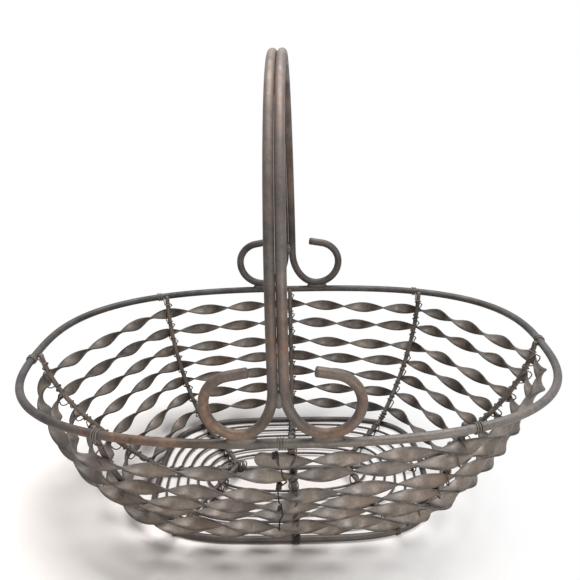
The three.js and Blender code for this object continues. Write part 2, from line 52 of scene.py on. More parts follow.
# Wall and ribs. A corner rib's angles are from the nearest end, and the left rib's from the right end.
WALL_DEPTH, END_BOW, SIDE_BOW = 101.5, 17, 4
RIB_ROD, RIB_RISE, RIB_BEND = 3.5, 1.5, 5
LEFT_TOP, BACK_LEFT_TOP, BACK_RIGHT_TOP = math.radians(182), math.radians(45.2), math.radians(43.6)
FRONT_LEFT_TOP, FRONT_RIGHT_TOP = math.radians(43.7), math.radians(46.7)
CORNER_FOOT, FRONT_RIGHT_FOOT = math.radians(40.8), math.radians(44)
FRONT_RIB_OFFSET, SPOKE_MEETING = 4, 39

# Wall strip: section, start and end, tilt and tautness of its rows, and each row's level and half twists.
STRIP_WIDTH, STRIP_THICKNESS, STRIP_CLEARANCE = 8.5, 1.2, 0.5
STRIP_START, STRIP_START_TWIST, STRIP_LAST_TURN = math.radians(-98.5), 0.23, 0.79
STRIP_TILT, STRIP_TILT_EASE, STRIP_END_TWIST, STRIP_END_EASE = 0.045, 1.5, 0.75, 0.06
STRIP_BACK_TAUT, STRIP_FRONT_TAUT = 0.7, 0.45
STRIP_ROWS = np.array([0.09, 0.2, 0.37, 0.488, 0.605, 0.716, 0.825])
HALF_TWISTS = np.array([28.34, 27.29, 25.35, 23.17, 22.62, 21.46, 20.13])

# Binding wire: turns round the rim, and the levels of the first and last tie.
BINDING_WIRE, BINDING_TURNS, BINDING_TURN_STEP = 0.9, 3, 1.5
BINDING_FIRST_LEVEL, BINDING_LAST_LEVEL = 0.05, 0.905

# Handle: rods, scrolls (their curl in degrees), and half sizes and heights of the weld beads.
HANDLE_ROD, HANDLE_HEIGHT, HANDLE_LEAN = 5.6, 196, 2
SCROLL_DROP, SCROLL_INNER_REACH, SCROLL_OUTER_RADIUS, SCROLL_UPPER_RADIUS = 27, 20, 18.75, 16.5
SCROLL_CURL, SCROLL_TIP, LEG_STRAIGHT = 80, 11, 3
SCROLL_WELD, HANDLE_WELD = (9, 3.0, 3.2), (3.4, 3.3, 5.5)
FRONT_WELD_HEIGHT, BACK_WELD_HEIGHT = 21, 31

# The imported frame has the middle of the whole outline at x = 0, which moves the rim by this much.
OUTLINE_SHIFT = np.array([-0.3289, 0.0, 0.0])

# Heights of the rods' middle lines. The solid base ring stands on a flat side.
BASE_Z = BASE_ROD / 2 * math.cos(math.pi / BASE_SIDES)
RIM_Z = BASE_Z + WALL_DEPTH
SPOKE_Z = BASE_Z + THIN_WIRE / 2 + CLEARANCE + RIB_ROD / 2
CROSSING_Z = SPOKE_Z + RIB_ROD + CLEARANCE
SCROLL_Z = RIM_Z + RIM_ROD / 2 + CLEARANCE + HANDLE_ROD / 2

# Steps: how finely lengths are measured, and the small step that slopes are taken over.
OVAL_STEPS, ROW_STEPS, REST_STEPS, CROSSING_TRIES = 2000, 721, 13, 3
TINY = 1e-3
UP = np.array([0.0, 0.0, 1.0])
LEVEL_PART = np.array([1, 1, 0])
rng = np.random.default_rng(7)


def lerp(a, b, t):
    return a + (b - a) * t


def smoothstep(x, lo, hi):
    t = np.clip((x - lo) / (hi - lo), 0, 1)
    return t * t * (3 - 2 * t)


def unit(v):
    return v / np.linalg.norm(v, axis=-1, keepdims=True)


def dot(a, b):
    return np.sum(a * b, axis=-1, keepdims=True)


def oval(angle, length, width, power, z):
    """Points at polar angles on a level oval."""
    angle, z = np.broadcast_arrays(np.asarray(angle, float), z)
    along = np.abs(np.cos(angle) / (length / 2)) ** power
    across = np.abs(np.sin(angle) / (width / 2)) ** power
    radius = (along + across) ** (-1 / power)
    return np.stack([radius * np.cos(angle), radius * np.sin(angle), z], axis=-1)


def even_oval(count, *shape):
    """Evenly spaced points round a level oval."""
    angles = np.linspace(0, 2 * np.pi, OVAL_STEPS)
    points = oval(angles, *shape)
    steps = np.linalg.norm(np.diff(points, axis=0), axis=1)
    length = np.concatenate([[0], np.cumsum(steps)])
    return oval(np.interp(np.linspace(0, length[-1], count + 1)[:-1], length, angles), *shape)


# The surface that the ribs lie in; level is 0 at the rim and 1 at the base ring.
def inset_for(rod, run):
    """How far inside a ring's middle line a rib's middle line passes it, for a wall that runs in by run."""
    return (rod / 2 + CLEARANCE + RIB_ROD / 2) * math.hypot(1, run / WALL_DEPTH)


def rib_size(level, rim_size, base_size, bow):
    """Length or width of the ribs' surface at a level, with a bow in its middle."""
    run, swell = (rim_size - base_size) / 2, 4 * bow
    top = rim_size / 2 - inset_for(RIM_ROD, run - swell)
    foot = base_size / 2 - inset_for(BASE_ROD, run + swell)
    return 2 * (lerp(top, foot, level) + swell * level * (1 - level))


def wall_point(angle, level):
    level = np.asarray(level, float)
    length = rib_size(level, RIM_LENGTH, BASE_LENGTH, END_BOW)
    width = rib_size(level, RIM_WIDTH, BASE_WIDTH, SIDE_BOW)
    return oval(angle, length, width, lerp(RIM_POWER, BASE_POWER, level), lerp(RIM_Z, BASE_Z, level))


def wall_place(angle, level):
    """Point on the ribs' surface, and the directions round it, up it and out of it."""
    along = unit(wall_point(angle + TINY, level) - wall_point(angle - TINY, level))
    up = wall_point(angle, level - TINY) - wall_point(angle, level + TINY)
    up = unit(up - along * dot(up, along))
    return wall_point(angle, level), along, up, np.cross(along, up)


# Ribs: polar angle at the top and at the foot, and the side that the binding starts on.
Rib = namedtuple("Rib", ["top", "foot", "side"])
FRONT_TOP = -math.pi / 2 + math.atan(FRONT_RIB_OFFSET / (RIM_WIDTH / 2))
FRONT_FOOT = -math.pi / 2 + math.atan(FRONT_RIB_OFFSET / (BASE_WIDTH / 2))
RIBS = {
    "right": Rib(0, 0, 1),
    "back_right": Rib(BACK_RIGHT_TOP, CORNER_FOOT, 1),
    "back": Rib(math.pi / 2, math.pi / 2, 1),
    "back_left": Rib(math.pi - BACK_LEFT_TOP, math.pi - CORNER_FOOT, 1),
    "left": Rib(LEFT_TOP, math.pi, 1),
    "front_left": Rib(math.pi + FRONT_LEFT_TOP, math.pi + CORNER_FOOT, 1),
    "front": Rib(FRONT_TOP, FRONT_FOOT, -1),
    "front_right": Rib(-FRONT_RIGHT_TOP, -FRONT_RIGHT_FOOT, 1),
}


def rib_angle(rib, level):
    return lerp(rib.top, rib.foot, level)


def rib_point(rib, level):
    return wall_point(rib_angle(rib, level), level)


# The wall strip's path; turn counts whole turns from its upper end.
STRIP_END = len(STRIP_ROWS) - 1 + STRIP_LAST_TURN
ROW_SHARES = np.linspace(0, 1, ROW_STEPS)


def row_lengths(level):
    """Share of a row's length that lies before each of its shares of a turn."""
    points = wall_point(STRIP_START + 2 * np.pi * ROW_SHARES, level)
    length = np.concatenate([[0], np.cumsum(np.linalg.norm(np.diff(points, axis=0), axis=1))])
    return length / length[-1]


ROW_LENGTHS = [row_lengths(level) for level in STRIP_ROWS]
NEXT_ROWS = np.append(STRIP_ROWS[1:], 2 * STRIP_ROWS[-1] - STRIP_ROWS[-2])
TWISTS_BEFORE = np.concatenate([[0], np.cumsum(HALF_TWISTS)])


def strip_angle(turn):
    return STRIP_START + 2 * np.pi * turn


def strip_level(turn):
    row = np.clip(np.floor(turn).astype(int), 0, len(STRIP_ROWS) - 1)
    angle = strip_angle(turn)
    tilt = STRIP_TILT * (1 - STRIP_TILT_EASE * np.maximum(0, np.cos(angle)))
    return lerp(STRIP_ROWS[row], NEXT_ROWS[row], turn - row) - tilt * np.sin(angle)


def strip_twist(turn):
    """Angle that the strip has turned about its own length, eased out of its untwisted upper end."""
    turn = np.atleast_1d(turn)
    row = np.clip(np.floor(turn).astype(int), 0, len(STRIP_ROWS) - 1)
    share = np.array([np.interp(t - r, ROW_SHARES, ROW_LENGTHS[r]) for t, r in zip(turn, row)])
    past_flat = (STRIP_START_TWIST + TWISTS_BEFORE[row] + HALF_TWISTS[row] * share - STRIP_END_TWIST) / 2
    return np.pi * (STRIP_END_TWIST + past_flat + np.hypot(past_flat, STRIP_END_EASE))


def strip_reach(turn):
    """Half of the room that the twisted strip takes, out of the wall."""
    twist = strip_twist(turn)
    return (STRIP_WIDTH * np.abs(np.sin(twist)) + STRIP_THICKNESS * np.abs(np.cos(twist))) / 2


def rest_on(turn, level):
    """How far out the strip rests on a rib, clear of it all the way across."""
    angle = strip_angle(turn)
    speed = np.linalg.norm(wall_point(angle + TINY, level) - wall_point(angle - TINY, level)) / (2 * TINY)
    share = np.linspace(-1, 1, REST_STEPS)
    aside = share * RIB_ROD / 2 / speed / (2 * np.pi)
    cover = RIB_ROD / 2 * np.sqrt(1 - share**2)
    return float(np.max(cover + strip_reach(turn + aside))) + STRIP_CLEARANCE


def crossings_of(rib):
    """Turn, level, rest and rib point of the strip's crossings of a rib."""
    found = []
    for row, level in enumerate(STRIP_ROWS):
        for _ in range(CROSSING_TRIES):
            ahead = (rib_angle(rib, level) - STRIP_START) / (2 * math.pi)
            turn = row + ahead - math.floor(ahead)
            level = float(strip_level(np.array([turn]))[0])
        if turn < STRIP_END:
            found.append((turn, level, rest_on(turn, level), *rib_point(rib, level)))
    return found


CROSSINGS = np.array(sorted(c for rib in RIBS.values() for c in crossings_of(rib)))


def strip_centre(turn):
    """The strip's middle line, resting on the ribs with its spans drawn toward straight, and the way up."""
    after = np.clip(np.searchsorted(CROSSINGS[:, 0], turn), 1, len(CROSSINGS) - 1)
    a, b = CROSSINGS[after - 1], CROSSINGS[after]
    turn_a, turn_b = a[:, 0], b[:, 0]
    rest_a, rest_b = a[:, 2], b[:, 2]
    rib_a, rib_b = a[:, 3:], b[:, 3:]
    centre, _, up, outward = wall_place(strip_angle(turn), strip_level(turn))
    span = np.clip((turn - turn_a) / (turn_b - turn_a), 0, 1)
    out = unit(np.cross((rib_b - rib_a) * LEVEL_PART, UP))
    at_back = np.sin(strip_angle((turn_a + turn_b) / 2)) > 0
    taut = np.where(at_back, STRIP_BACK_TAUT, STRIP_FRONT_TAUT)
    share = taut * np.sqrt(np.maximum(0, np.sin(np.pi * span)))
    inset = out * share[:, None] * dot(centre - rib_a, out)
    rest = lerp(rest_a, rest_b, smoothstep(turn, turn_a, turn_b))
    return centre - inset + outward * rest[:, None], up


# Mesh making.
STEEP, END_RADIUS, END_ROUNDING, END_SPAN = 0.9, 0.7, 0.35, 0.3
ROD_SIDES, RING_SIDES, RIB_SIDES, THIN_SIDES, WIRE_SIDES, LASHING_SIDES = 20, 16, 14, 10, 8, 6


def mesh_piece(name, points, faces, material, slot, replaces=(), **values):
    """A smooth piece of the part, with its values as point attributes for the material."""
    mesh = bpy.data.meshes.new(name)
    mesh.from_pydata(((np.asarray(points) + OUTLINE_SHIFT) * MM).tolist(), [], faces)
    mesh.polygons.foreach_set("use_smooth", [True] * len(mesh.polygons))
    for key, value in values.items():
        layer = mesh.attributes.new(key, "FLOAT", "POINT")
        layer.data.foreach_set("value", np.asarray(value, np.float32).ravel())
    mesh.materials.append(material)
    mesh.update()
    obj = bpy.data.objects.new(name, mesh)
    bpy.context.collection.objects.link(obj)
    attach(obj, "root")
    if replaces:
        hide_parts(*replaces)


def skin_faces(count, sides, loop):
    """Faces over count rings of sides points, joined end to end or capped."""
    faces = []
    for i in range(count if loop else count - 1):
        a, b = i * sides, (i + 1) % count * sides
        faces += [(a + j, a + (j + 1) % sides, b + (j + 1) % sides, b + j) for j in range(sides)]
    if not loop:
        last = (count - 1) * sides
        faces += [tuple(reversed(range(sides))), tuple(range(last, last + sides))]
    return faces


def around_loop(points):
    """Directions along a closed run of points."""
    return unit(np.roll(points, -1, axis=0) - np.roll(points, 1, axis=0))


def frames_along(points, loop):
    """Unspun section directions along a run of points."""
    along = around_loop(points) if loop else unit(np.gradient(points, axis=0))
    u = UP if abs(along[0, 2]) < STEEP else np.array([0.0, 1.0, 0.0])
    us = []
    for direction in along:
        u = unit(u - direction * np.dot(u, direction))
        us.append(u)
    us = np.array(us)
    return us, np.cross(along, us)


def tube(name, points, diameter, sides, material, loop=False, level=False, rust=None, dust_and_light=None, painted_shade=None,
         **options):
    """Round rod along points, with open ends rounded off a little and a level loop kept upright."""
    points = np.asarray(points, float)
    radius = np.full(len(points), diameter / 2)
    if not loop:
        ease = min(END_ROUNDING * radius[0], END_SPAN * np.linalg.norm(points[1] - points[0]))
        first = points[0] + unit(points[1] - points[0]) * ease
        last = points[-1] + unit(points[-2] - points[-1]) * ease
        points = np.vstack([points[:1], first, points[1:-1], last, points[-1:]])
        radius = np.full(len(points), diameter / 2)
        radius[[0, -1]] *= END_RADIUS
    if level:
        u, v = np.broadcast_to(UP, points.shape), np.cross(around_loop(points), UP)
    else:
        u, v = frames_along(points, loop)
    angle = 2 * np.pi * (np.arange(sides) + 0.5) / sides
    section = np.cos(angle)[None, :, None] * u[:, None] + np.sin(angle)[None, :, None] * v[:, None]
    ring = points[:, None] + radius[:, None, None] * section
    for key, spread in (("rust", rust), ("dust_and_light", dust_and_light), ("painted_shade", painted_shade)):
        if spread is not None:
            options[key] = np.repeat(spread(points), sides)
    mesh_piece(name, ring.reshape(-1, 3), skin_faces(len(points), sides, loop), material, **options)


def smooth_run(points, per_step):
    """A smooth curve through points, with per_step points to each span."""
    p = np.asarray(points, float)
    p = np.vstack([2 * p[0] - p[1], p, 2 * p[-1] - p[-2]])
    t = np.linspace(0, 1, per_step, endpoint=False)[:, None]
    run = []
    for a, b, c, d in zip(p[:-3], p[1:-2], p[2:-1], p[3:]):
        run.append(b + 0.5 * t * (c - a + t * (2 * a - 5 * b + 4 * c - d + t * (3 * (b - c) + d - a))))
    return np.vstack(run + [p[-2:-1]])


# Materials.
class Nodes:
    """Shorthand for a material's nodes."""

    def __init__(self, name):
        self.material = bpy.data.materials.new(name)
        self.material.use_nodes = True
        self.tree = self.material.node_tree
        self.shader = self.tree.nodes["Principled BSDF"]

    def feed(self, socket, value):
        if isinstance(value, bpy.types.NodeSocket):
            self.tree.links.new(value, socket)
        else:
            socket.default_value = value

    def node(self, kind, *values, operation=None, **named):
        """A node whose first inputs are fed in their order, and others by name."""
        node = self.tree.nodes.new(kind)
        if operation:
            node.operation = operation
        for socket, value in zip(node.inputs, values):
            self.feed(socket, value)
        for key, value in named.items():
            self.feed(node.inputs[key], value)
        return node

    def place(self):
        return self.node("ShaderNodeTexCoord").outputs["Object"]

    def noise(self, scale, detail=4.0, rough=0.55):
        values = {"Vector": self.place(), "Scale": scale, "Detail": detail, "Roughness": rough}
        return self.node("ShaderNodeTexNoise", **values).outputs["Fac"]

    def band(self, value, lo, hi, to_lo=0.0, to_hi=1.0):
        return self.node("ShaderNodeMapRange", value, lo, hi, to_lo, to_hi).outputs[0]

    def math(self, kind, a, b):
        return self.node("ShaderNodeMath", a, b, operation=kind).outputs[0]

    def mix(self, share, a, b, blend="MIX"):
        """Mix of two colours, by the sockets that this node has for colours."""
        node = self.tree.nodes.new("ShaderNodeMix")
        node.data_type = "RGBA"
        node.blend_type = blend
        for socket, value in ((0, share), (6, a), (7, b)):
            self.feed(node.inputs[socket], value)
        return node.outputs[2]

    def value_of(self, attribute):
        node = self.tree.nodes.new("ShaderNodeAttribute")
        node.attribute_name = attribute
        return node.outputs["Fac"]


def rgb(r, g, b):
    return (r, g, b, 1.0)


# The dust colour also stands for painted light, and the slate multiply colour is painted shade.
RUST, DUST_AND_LIGHT, PAINTED_SHADE = rgb(0.215, 0.115, 0.064), rgb(0.27, 0.245, 0.228), rgb(0.42, 0.46, 0.49)
OLIVE, VIOLET, GRIME = rgb(0.95, 0.92, 0.72), rgb(0.97, 0.88, 0.94), rgb(0.012, 0.010, 0.009)
MOST_RUST, RUST_METAL, IRON_SPECULAR = 0.9, 0.1, 0.3
GRAIN_LIFT, BUMP_DEPTH = 0.5, 0.4 * MM


def iron(name, dark, light, rusty, metal=0.25, rough=(0.40, 0.66), bump=0.3, edge=None):
    """Bare iron: cloudy patina with olive and violet tints, dust and painted light, painted shade, grain,
    rust and darker edges.
    """
    n = Nodes(name)
    cloud = n.band(n.noise(scale=55.0, detail=5.0, rough=0.6), lo=0.36, hi=0.64)
    colour = n.mix(cloud, dark, light)
    olive = n.band(n.noise(scale=31.0, detail=3.0), lo=0.50, hi=0.66, to_hi=0.5)
    colour = n.mix(olive, colour, OLIVE, "MULTIPLY")
    violet = n.band(n.noise(scale=43.0, detail=3.0), lo=0.52, hi=0.68, to_hi=0.6)
    colour = n.mix(violet, colour, VIOLET, "MULTIPLY")
    # Lighter dust colour: partly dust, partly painted light on the tops and the lit front of the basket.
    powder = n.band(n.noise(scale=300.0, detail=4.0, rough=0.7), lo=0.3, hi=0.7, to_lo=0.3)
    colour = n.mix(n.math("MULTIPLY", n.value_of("dust_and_light"), powder), colour, DUST_AND_LIGHT)
    # Painted shade: a darker, cooler slate tint where less light falls.
    colour = n.mix(n.value_of("painted_shade"), colour, PAINTED_SHADE, "MULTIPLY")
    grain = n.noise(scale=700.0, detail=3.0, rough=0.7)
    colour = n.mix(n.band(grain, lo=0.3, hi=0.75, to_hi=0.4), colour, GRIME)
    patch = n.band(n.noise(scale=38.0, detail=6.0, rough=0.65), lo=0.50, hi=0.68, to_hi=rusty)
    blotch = n.band(n.noise(scale=90.0, detail=5.0, rough=0.65), lo=0.36, hi=0.60, to_lo=0.15)
    stain = n.math("MULTIPLY", n.value_of("rust"), blotch)
    speckle = n.band(n.noise(scale=420.0, detail=2.0, rough=0.6), lo=0.35, hi=0.6, to_lo=0.35)
    rust = n.math("MINIMUM", n.math("MULTIPLY", n.math("ADD", patch, stain), speckle), MOST_RUST)
    colour = n.mix(rust, colour, RUST)
    # Darker towards the strip's edges, in patches.
    if edge is not None:
        edge_patches = n.band(n.noise(scale=160.0), lo=0.3, hi=0.6)
        colour = n.mix(n.math("MULTIPLY", n.value_of("edge"), edge_patches), colour, edge)
    gloss = n.noise(scale=120.0, detail=4.0)
    lift = n.math("ADD", n.math("MULTIPLY", grain, GRAIN_LIFT), n.noise(scale=230.0, detail=4.0))
    knock = n.node("ShaderNodeBump", Strength=bump, Distance=BUMP_DEPTH, Height=lift)
    n.feed(n.shader.inputs["Base Color"], colour)
    n.feed(n.shader.inputs["Specular IOR Level"], IRON_SPECULAR)
    n.feed(n.shader.inputs["Metallic"], n.band(rust, lo=0.0, hi=0.7, to_lo=metal, to_hi=RUST_METAL))
    n.feed(n.shader.inputs["Roughness"], n.band(gloss, lo=0.3, hi=0.7, to_lo=rough[0], to_hi=rough[1]))
    n.feed(n.shader.inputs["Normal"], knock.outputs[0])
    return n.material


rod_iron = iron("rod_iron", rgb(0.047, 0.045, 0.044), rgb(0.110, 0.102, 0.099), rusty=0.14)
base_iron = iron("base_iron", rgb(0.046, 0.041, 0.038), rgb(0.098, 0.086, 0.079), rusty=0.12)
rib_iron = iron("rib_iron", rgb(0.066, 0.057, 0.052), rgb(0.150, 0.128, 0.114), rusty=0.25)
handle_iron = iron("handle_iron", rgb(0.052, 0.048, 0.048), rgb(0.136, 0.120, 0.114), rusty=0.22)
strip_iron = iron("strip_iron", rgb(0.080, 0.069, 0.061), rgb(0.200, 0.169, 0.147), rusty=0.16,
                  edge=rgb(0.036, 0.032, 0.030))
wire_iron = iron("wire_iron", rgb(0.060, 0.052, 0.047), rgb(0.140, 0.120, 0.108), rusty=0.15, bump=0.15)
tie_iron = iron("tie_iron", rgb(0.010, 0.009, 0.008), rgb(0.034, 0.029, 0.026), rusty=0.08, metal=0.0,
                rough=(0.75, 0.95), bump=0.15)
weld_iron = iron("weld_iron", rgb(0.070, 0.065, 0.062), rgb(0.155, 0.143, 0.135), rusty=0.15, bump=0.7)


def spots(*places):
    """Share of rust, of dust and painted light, or of painted shade from places (x, y, z, reach, strength).
    """
    def share(points):
        total = np.zeros(len(points))
        for x, y, z, reach, strength in places:
            away = np.linalg.norm(points - np.array([x, y, z]), axis=1)
            total += strength * np.exp(-((away / reach) ** 2))
        return total
    return share


# Rim and base.
RIM_STEPS, RING_STEPS, THIN_STEPS = 420, 300, 220
RIM_SHAPE = (RIM_LENGTH, RIM_WIDTH, RIM_POWER, RIM_Z)
BASE_SHAPE = (BASE_LENGTH, BASE_WIDTH, BASE_POWER, BASE_Z)
rim_rust = spots((-95, -107, RIM_Z, 28, 0.7), (-58, -119, RIM_Z, 28, 0.3), (60, -121, RIM_Z, 25, 0.1))
# Dust and painted light on the rim's front, most at its right; painted shade on its back, its ends and its
# front left.
rim_dust_and_light = spots((95, -105, RIM_Z, 60, 0.5), (160, -50, RIM_Z, 60, 0.35), (20, -121, RIM_Z, 50, 0.35))
rim_shade = spots((-110, 110, RIM_Z, 90, 0.7), (60, 120, RIM_Z, 90, 0.25), (-176, 0, RIM_Z, 60, 0.3),
                  (176, 0, RIM_Z, 60, 0.2), (-85, -112, RIM_Z, 60, 0.6))
tube("rim", even_oval(RIM_STEPS, *RIM_SHAPE), RIM_ROD, ROD_SIDES, rod_iron, loop=True, level=True,
     rust=rim_rust, dust_and_light=rim_dust_and_light, painted_shade=rim_shade, replaces=["rim"], slot="rod_iron")
tube("base_outer_ring", even_oval(RING_STEPS, *BASE_SHAPE), 2 * BASE_Z, RING_SIDES, base_iron, loop=True,
     level=True, replaces=["base_outer_ring"], slot="rod_iron")


def thin_ring(i):
    """Length, width and power of a thin ring, counted inward."""
    power = lerp(THIN_OUTER_POWER, THIN_INNER_POWER, (i - 1) / (THIN_RINGS - 1))
    return BASE_LENGTH - 2 * THIN_STEP_ALONG * i, BASE_WIDTH - 2 * THIN_STEP_ACROSS * i, power


for i in range(1, THIN_RINGS + 1):
    ring = even_oval(THIN_STEPS, *thin_ring(i), BASE_Z)
    tube(f"base_thin_ring_{i}", ring, THIN_WIRE, THIN_SIDES, base_iron, loop=True, level=True,
         replaces=[f"base_thin_ring_{i}"], slot="wire_iron")


# Frame wires: each runs down one rib, over the base and up another.
RIB_STEPS, BEND_STEPS = 28, 10
RIB_TOP_LEVEL = -RIB_RISE / WALL_DEPTH
SPOKE_LEVEL = (RIM_Z - SPOKE_Z) / WALL_DEPTH


def bend(start, corner, end, size):
    """A rounded corner that begins and ends at a distance of size from it."""
    a = corner + unit(start - corner) * size
    b = corner + unit(end - corner) * size
    t = np.linspace(0, 1, BEND_STEPS)[:, None]
    return (1 - t) ** 2 * a + 2 * t * (1 - t) * corner + t**2 * b


def frame_path(first, second, crossing):
    def down(rib):
        foot = rib_point(rib, SPOKE_LEVEL)
        bend_level = SPOKE_LEVEL - RIB_BEND / np.linalg.norm(foot - rib_point(rib, RIB_TOP_LEVEL))
        levels = np.linspace(RIB_TOP_LEVEL, bend_level, RIB_STEPS)[:-1]
        run = np.array([rib_point(rib, level) for level in levels])
        return np.vstack([run, bend(rib_point(rib, bend_level), foot, crossing, RIB_BEND)])

    middle = bend(rib_point(first, SPOKE_LEVEL), crossing, rib_point(second, SPOKE_LEVEL), RIB_BEND)
    return np.vstack([down(first), middle, down(second)[::-1]])


SPOKES = {
    "long": ("left", "right", np.array([0, 0, SPOKE_Z])),
    "cross": ("front", "back", np.array([0, 0, CROSSING_Z])),
    "left": ("front_left", "back_left", np.array([-SPOKE_MEETING, 0, CROSSING_Z])),
    "right": ("front_right", "back_right", np.array([SPOKE_MEETING, 0, CROSSING_Z])),
}
rib_rust = spots((-150, 0, 75, 45, 0.3), (145, -5, 70, 12, 0.6))
rib_dust = spots((-155, 0, 80, 40, 0.35))
for name, (first, second, crossing) in SPOKES.items():
    tube(f"frame_wire_{name}", frame_path(RIBS[first], RIBS[second], crossing), RIB_ROD, RIB_SIDES, rib_iron,
         rust=rib_rust, dust_and_light=rib_dust, replaces=[f"frame_wire_{name}"], slot="rod_iron")


# Wall strip: a flat section with rounded edges, and a rounded tip that lifts a little at its upper end.
STRIP_STEPS, STRIP_ROUNDING, DARK_EDGE_SHARE, LEAST_STEP = 14, 0.4, 0.45, 1e-4
TIP_STEPS, TIP_TURNS, TIP_LENGTH, TIP_TAPER = 10, 0.008, 5.0, 0.96
# Painted shade at the strip's upper tip and at the wall's ends and back; dust and painted light on its front
# rows.
TIP_LIFT, TIP_LIFT_LENGTH, TIP_SHADE, TIP_SHADE_REACH = 3.2, 36, 0.6, 26
LEFT_SHADE, RIGHT_SHADE, BACK_SHADE = 0.45, 0.24, 0.18
LEAST_DUST_AND_LIGHT, MOST_DUST_AND_LIGHT = 0.04, 0.34


def strip_turns():
    """Places along the strip in turns: the same number in each half twist, and closer ones at the tip."""
    turns = []
    for row, count in enumerate(HALF_TWISTS):
        shares = np.linspace(0, 1, round(count * STRIP_STEPS), endpoint=False)
        turns.append(row + np.interp(shares, ROW_LENGTHS[row], ROW_SHARES))
    turns = np.concatenate(turns)
    turns = np.concatenate([np.linspace(0, TIP_TURNS, TIP_STEPS), turns[turns > TIP_TURNS]])
    return np.append(turns[turns < STRIP_END - LEAST_STEP], STRIP_END)


def strip_section():
    """Corners of the section, across and through the strip, and how near each is to an edge."""
    half_w, half_t = STRIP_WIDTH / 2, STRIP_THICKNESS / 2
    flat_w, flat_t = half_w - STRIP_ROUNDING, half_t - STRIP_ROUNDING
    across = [-flat_w, -half_w / 2, 0, half_w / 2, flat_w]
    top = [(w, half_t) for w in reversed(across)]
    left = [(-half_w, flat_t), (-half_w, -flat_t)]
    bottom = [(w, -half_t) for w in across]
    right = [(half_w, -flat_t), (half_w, flat_t)]
    section = np.array(top + left + bottom + right)
    dark_edge_from = half_w * (1 - DARK_EDGE_SHARE)
    return section, np.clip((np.abs(section[:, 0]) - dark_edge_from) / (half_w * DARK_EDGE_SHARE), 0, 1)


strip_rust = spots((-59, 100, 47, 9, 0.8), (-39, 116, 92, 10, 0.4), (-60, 106, 62, 9, 0.4),
                   (150, -13, 73, 8, 0.7), (50, -97, 45, 12, 0.4), (90, -95, 59, 14, 0.3),
                   (-53, -85, 21, 14, 0.35))


def strip_shade(points):
    """Painted shade: the ends and the back of the wall are a little darker, where less light falls."""
    left, right = smoothstep(-points[:, 0], 85, 135), smoothstep(points[:, 0], 95, 145)
    return LEFT_SHADE * left + RIGHT_SHADE * right + BACK_SHADE * smoothstep(points[:, 1], 20, 80)


def strip_dust_and_light(points):
    """Dust and painted light on the front rows, most at their right."""
    rightward = lerp(LEAST_DUST_AND_LIGHT, MOST_DUST_AND_LIGHT, smoothstep(points[:, 0], -90, 40))
    return smoothstep(-points[:, 1], 30, 80) * rightward


def wall_strip():
    turns = strip_turns()
    centre, up = strip_centre(turns)
    along = unit(strip_centre(turns + TINY)[0] - strip_centre(turns - TINY)[0])
    up = unit(up - along * dot(up, along))
    outward = np.cross(along, up)
    twist = strip_twist(turns)[:, None]
    wide = up * np.cos(twist) + outward * np.sin(twist)
    thick = outward * np.cos(twist) - up * np.sin(twist)
    from_end = np.concatenate([[0], np.cumsum(np.linalg.norm(np.diff(centre, axis=0), axis=1))])
    at_tip = np.clip(1 - from_end / TIP_LENGTH, 0, 1)
    lifted = np.clip(1 - from_end / TIP_LIFT_LENGTH, 0, 1)
    wide = wide * np.sqrt(1 - TIP_TAPER * at_tip**2)[:, None]
    centre = centre + up * TIP_LIFT * (lifted**2)[:, None]
    section, near_edge = strip_section()
    across, through = section[None, :, 0, None], section[None, :, 1, None]
    rings = centre[:, None] + across * wide[:, None] + through * thick[:, None]
    # Painted shade at the strip's upper tip.
    tip_shade = TIP_SHADE * np.exp(-((from_end / TIP_SHADE_REACH) ** 2))
    looks = {"rust": strip_rust(centre), "dust_and_light": strip_dust_and_light(centre), "painted_shade": strip_shade(centre) + tip_shade}
    looks = {key: np.repeat(value, len(section)) for key, value in looks.items()}
    mesh_piece("wall_strip", rings.reshape(-1, 3), skin_faces(len(turns), len(section), False), strip_iron,
               replaces=["wall_strip"], slot="strip_iron", edge=np.tile(near_edge, len(turns)), **looks)


wall_strip()

# Binding wires: turns round the rim, then round each rib, with one slanting loop over the strip at each row.
WIRE_GAP, TURN_STEPS, NEAREST_TRIES, WIRE_STEPS = 0.05, 16, 4, 3
COIL_STEPS, COIL_UNEVEN, COIL_WANDER = 8, 0.6, 0.08
LOOP_REST, LOOP_REACH, LOOP_CLEAR, LOOP_SLACK, LOOP_MARGIN = 3.6, 1.4, 0.7, 0.4, 1.2
LOOP_FOOT_OUT, LOOP_FOOT_ASIDE, LOOP_TOP_LEVEL, LOOP_TOP_ASIDE = 0.55, 0.2, 0.6, 0.8
EYE_LEVEL, EYE_REACH, EYE_OUT = 0.022, 1.3, 0.5
COIL_ROOM, COIL_LEAST = 0.004, 0.003
LAST_COIL_ROOM, LAST_COIL_END, LAST_COIL_TURNS = 0.02, 0.04, 2
RIM_WIRE_DUST_AND_LIGHT = 0.45


def rim_slope(angle):
    return (oval(angle + TINY, *RIM_SHAPE) - oval(angle - TINY, *RIM_SHAPE)) / (2 * TINY)


def rim_turns(rib):
    """Turns round the rim, beside the rib's top."""
    nearest = rib.top
    for _ in range(NEAREST_TRIES):
        slope = rim_slope(nearest)
        nearest += np.dot(rib_point(rib, 0.0) - oval(nearest, *RIM_SHAPE), slope) / np.dot(slope, slope)
    radius = RIM_ROD / 2 + WIRE_GAP + BINDING_WIRE / 2
    share = np.linspace(0, 1, BINDING_TURNS * TURN_STEPS + 1)
    distance = RIB_ROD / 2 + CLEARANCE + BINDING_WIRE + BINDING_TURN_STEP * BINDING_TURNS * (1 - share)
    angle = nearest + rib.side * distance / np.linalg.norm(rim_slope(nearest))
    outside = unit(np.cross(rim_slope(angle), UP))
    turn = (2 * np.pi * BINDING_TURNS * share)[:, None]
    return oval(angle, *RIM_SHAPE) - radius * np.cos(turn) * outside + radius * np.sin(turn) * UP


